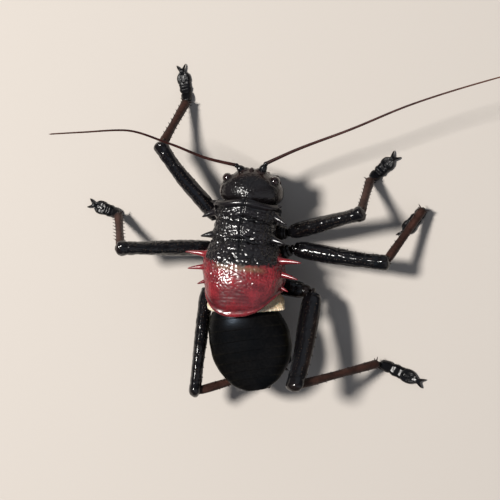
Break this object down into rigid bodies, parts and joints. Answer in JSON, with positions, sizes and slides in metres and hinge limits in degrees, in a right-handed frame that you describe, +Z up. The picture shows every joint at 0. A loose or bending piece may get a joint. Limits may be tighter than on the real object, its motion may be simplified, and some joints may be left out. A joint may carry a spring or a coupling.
{
  "type": "armoured ground cricket",
  "caption": "Still life-size armoured ground cricket with a thorned crimson shield, black abdomen, six standing legs and long feelers.",
  "frame": {"origin": "centre of the bounding box on the floor, under the feet", "axes": "+Z up, +Y towards the head, +X the animal's right side"},
  "size_m": [0.0896, 0.0682, 0.0342],
  "materials": {
    "black_chitin": "glossy, finely wrinkled black",
    "shield_chitin": "glossy wrinkled dark crimson, black in front",
    "wing_cream": "cream yellow, satin",
    "abdomen_chitin": "smooth satin near-black with olive edges",
    "brown_chitin": "dark brown, satin",
    "eye_gloss": "high gloss, dark red-brown",
    "feeler_chitin": "dark reddish brown, satin",
    "soft_membrane": "soft, brown, folded"
  },
  "bodies": {
    "root": {"abdomen": "abdomen_chitin", "cercus_left": "brown_chitin", "cercus_right": "brown_chitin", "coxa_fore_left": "black_chitin", "coxa_fore_right": "black_chitin", "coxa_hind_left": "black_chitin", "coxa_hind_right": "black_chitin", "coxa_mid_left": "black_chitin", "coxa_mid_right": "black_chitin", "epiproct": "abdomen_chitin", "eye_left": "eye_gloss", "eye_right": "eye_gloss", "feeler_left_1": "feeler_chitin", "feeler_left_2": "feeler_chitin", "feeler_left_3": "feeler_chitin", "feeler_right_1": "feeler_chitin", "feeler_right_2": "feeler_chitin", "feeler_right_3": "feeler_chitin", "femur_fore_left": "black_chitin", "femur_fore_right": "black_chitin", "femur_hind_left": "black_chitin", "femur_hind_right": "black_chitin", "femur_mid_left": "black_chitin", "femur_mid_right": "black_chitin", "head": "black_chitin", "labial_palp_left": "brown_chitin", "labial_palp_right": "brown_chitin", "labium": "brown_chitin", "labrum": "brown_chitin", "mandible_left": "black_chitin", "mandible_right": "black_chitin", "maxillary_palp_left": "brown_chitin", "maxillary_palp_right": "brown_chitin", "mesothorax": "black_chitin", "metathorax": "black_chitin", "neck": "soft_membrane", "pronotum": "shield_chitin", "prothorax": "black_chitin", "scape_left": "black_chitin", "scape_right": "black_chitin", "subgenital_plate": "abdomen_chitin", "tarsus_fore_left": "black_chitin", "tarsus_fore_right": "black_chitin", "tarsus_hind_left": "black_chitin", "tarsus_hind_right": "black_chitin", "tarsus_mid_left": "black_chitin", "tarsus_mid_right": "black_chitin", "tegmen_left": "wing_cream", "tegmen_right": "wing_cream", "tibia_fore_left": "brown_chitin", "tibia_fore_right": "brown_chitin", "tibia_hind_left": "brown_chitin", "tibia_hind_right": "brown_chitin", "tibia_mid_left": "brown_chitin", "tibia_mid_right": "brown_chitin"}
  },
  "joints": []
}
